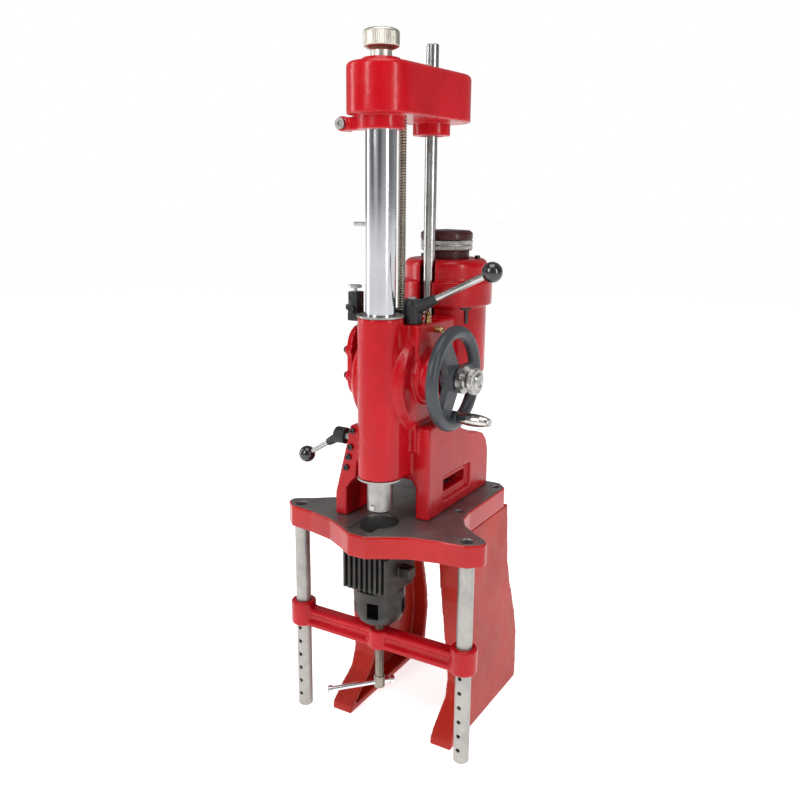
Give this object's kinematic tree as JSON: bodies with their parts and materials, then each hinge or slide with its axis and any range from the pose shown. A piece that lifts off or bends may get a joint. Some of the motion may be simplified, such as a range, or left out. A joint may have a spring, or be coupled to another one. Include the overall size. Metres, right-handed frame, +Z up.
{
  "type": "vertical cylinder boring machine",
  "caption": "Floor-standing vertical boring machine: red castings, chrome boring bar fed by a handwheel and screw, motor drive, and a clamping stand with a sliding crossbar.",
  "frame": {"origin": "middle of the footprint of the whole machine, on the floor", "axes": "+Z up along the spindle; +X towards the handwheel; +Y towards the motor at the rear"},
  "size_m": [0.36, 0.373, 1.111],
  "materials": {
    "red_enamel": "gloss enamel on iron castings",
    "stand_enamel": "gloss orange-red enamel on the stand",
    "ground_iron": "ground and oiled iron table top",
    "hard_chrome": "polished hard chrome",
    "bright_steel": "turned bright steel",
    "galvanised": "satin zinc plated steel bar",
    "black_oxide": "black oxide",
    "wheel_grey": "dark grey enamel on the handwheel",
    "black_plastic": "black moulded phenolic",
    "dark_casting": "oily dark iron",
    "bronze": "bearing bronze",
    "brass_fitting": "brass",
    "maroon": "dark red-brown paint",
    "copper_core": "laminated core with windings",
    "screw_steel": "oiled threaded steel"
  },
  "bodies": {
    "stand": {"stand_table": "stand_enamel", "right_leg": "stand_enamel", "left_leg": "stand_enamel", "right_post": "galvanised", "left_post": "galvanised", "stand_bolts": "black_oxide", "machine_body": "red_enamel", "barrel_bushes": "bronze", "barrel_collars": "bright_steel", "left_gear_cover": "red_enamel", "cover_screws": "black_oxide", "screw_boss": "black_oxide", "gear_case_bushes": "bronze", "lever_shafts": "bright_steel", "trip_body": "black_oxide", "oil_fittings": "brass_fitting", "motor_housing": "red_enamel", "motor_stator": "copper_core", "shaft_bearings": "bright_steel", "motor_cap": "maroon", "motor_ring": "bright_steel", "motor_fittings": "black_oxide"},
    "boring_bar": {"head_casting": "red_enamel", "head_plate": "red_enamel", "bar_fasteners": "bright_steel", "quill": "hard_chrome", "head_bearings": "bright_steel", "feed_screw": "screw_steel"},
    "spindle": {"spindle_shaft": "bright_steel", "spindle_nose": "hard_chrome", "cutter_bit": "bright_steel", "spindle_gear": "screw_steel", "top_knob": "bright_steel"},
    "idler": {"idler_gear": "screw_steel"},
    "rod_drive_gear": {"drive_gear": "screw_steel"},
    "drive_shaft": {"drive_rod": "hard_chrome", "rod_gear": "screw_steel"},
    "motor_shaft": {"motor_rotor": "copper_core", "motor_pinion": "screw_steel"},
    "nut": {"feed_nut": "bronze", "nut_pinion": "bronze"},
    "wheel": {"crown_gear": "screw_steel", "wheel_shaft": "bright_steel", "handwheel": "wheel_grey", "wheel_fittings": "hard_chrome"},
    "grip": {"crank_grip": "hard_chrome"},
    "knob": {"clutch_knob": "hard_chrome"},
    "feed_lever": {"feed_lever_hub": "black_oxide", "feed_lever_rod": "hard_chrome", "feed_lever_ball": "black_plastic"},
    "shift_lever": {"shift_lever_hub": "black_oxide", "shift_lever_rod": "hard_chrome", "shift_lever_ball": "black_plastic"},
    "trip": {"trip_button": "bright_steel"},
    "clamp_beam": {"crossbar": "red_enamel", "set_screws": "black_oxide"},
    "clamp": {"clamp_cup": "dark_casting", "sample_cylinder": "dark_casting"},
    "clamp_spindle": {"clamp_screw": "screw_steel"},
    "tommy": {"tommy_bar": "hard_chrome"}
  },
  "joints": [
    {"name": "handwheel_turn", "type": "hinge", "parent": "stand", "child": "wheel", "pos_m": [0.094, -0.0585, 0.618], "axis": [1, 0, 0], "range_deg": [0, 5715]},
    {"name": "bar_feed", "type": "slide", "parent": "stand", "child": "boring_bar", "axis": [0, 0, -1], "range_m": [0, 0.127]},
    {"name": "nut_turn", "type": "hinge", "parent": "stand", "child": "nut", "pos_m": [0, -0.0585, 0.6], "axis": [0, 0, 1], "range_deg": [0, 11430]},
    {"name": "spindle_spin", "type": "hinge", "parent": "boring_bar", "child": "spindle", "pos_m": [0, -0.1185, 0.7], "axis": [0, 0, 1], "continuous": true},
    {"name": "idler_spin", "type": "hinge", "parent": "boring_bar", "child": "idler", "pos_m": [0, -0.0445, 1.024], "axis": [0, 0, 1], "continuous": true},
    {"name": "drive_gear_spin", "type": "hinge", "parent": "boring_bar", "child": "rod_drive_gear", "pos_m": [0, 0.0295, 1.024], "axis": [0, 0, 1], "continuous": true},
    {"name": "drive_shaft_spin", "type": "hinge", "parent": "stand", "child": "drive_shaft", "pos_m": [0, 0.0295, 0.8], "axis": [0, 0, 1], "continuous": true},
    {"name": "motor_spin", "type": "hinge", "parent": "stand", "child": "motor_shaft", "pos_m": [0, 0.0885, 0.7], "axis": [0, 0, 1], "continuous": true},
    {"name": "grip_spin", "type": "hinge", "parent": "wheel", "child": "grip", "pos_m": [0.12, -0.0585, 0.558], "axis": [1, 0, 0], "continuous": true},
    {"name": "clutch_knob_turn", "type": "hinge", "parent": "wheel", "child": "knob", "pos_m": [0.128, -0.0585, 0.618], "axis": [1, 0, 0], "range_deg": [0, 90]},
    {"name": "feed_lever_swing", "type": "hinge", "parent": "stand", "child": "feed_lever", "pos_m": [0.03, -0.0765, 0.715], "axis": [0, 0, 1], "range_deg": [-50, 40]},
    {"name": "shift_lever_swing", "type": "hinge", "parent": "stand", "child": "shift_lever", "pos_m": [-0.072, -0.1185, 0.519], "axis": [1, 0, 0], "range_deg": [-40, 40]},
    {"name": "trip_press", "type": "slide", "parent": "stand", "child": "trip", "axis": [0, 0, 1], "range_m": [-0.0055, 0], "stiffness_N_per_m": 300, "springref_m": 0.001},
    {"name": "crossbar_slide", "type": "slide", "parent": "stand", "child": "clamp_beam", "axis": [0, 0, 1], "range_m": [-0.075, 0]},
    {"name": "clamp_screw_turn", "type": "hinge", "parent": "clamp", "child": "clamp_spindle", "pos_m": [0, -0.1185, 0.15], "axis": [0, 0, 1], "range_deg": [-900, 0]},
    {"name": "clamp_lift", "type": "slide", "parent": "clamp_beam", "child": "clamp", "axis": [0, 0, 1], "range_m": [-0.0075, 0]},
    {"name": "tommy_bar_slide", "type": "slide", "parent": "clamp_spindle", "child": "tommy", "axis": [0.6691, 0.7431, 0], "range_m": [-0.008, 0.069]}
  ],
  "couplings": [
    {"joint": "bar_feed", "follows": "handwheel_turn", "m_per_rad": 0.0012732},
    {"joint": "nut_turn", "follows": "handwheel_turn", "ratio": 2},
    {"joint": "idler_spin", "follows": "spindle_spin", "ratio": -1.0556},
    {"joint": "drive_gear_spin", "follows": "spindle_spin", "ratio": 1},
    {"joint": "drive_shaft_spin", "follows": "spindle_spin", "ratio": 1},
    {"joint": "motor_spin", "follows": "spindle_spin", "ratio": -1.8095},
    {"joint": "clamp_screw_turn", "follows": "clamp_lift", "rad_per_m": 2094.4}
  ]
}
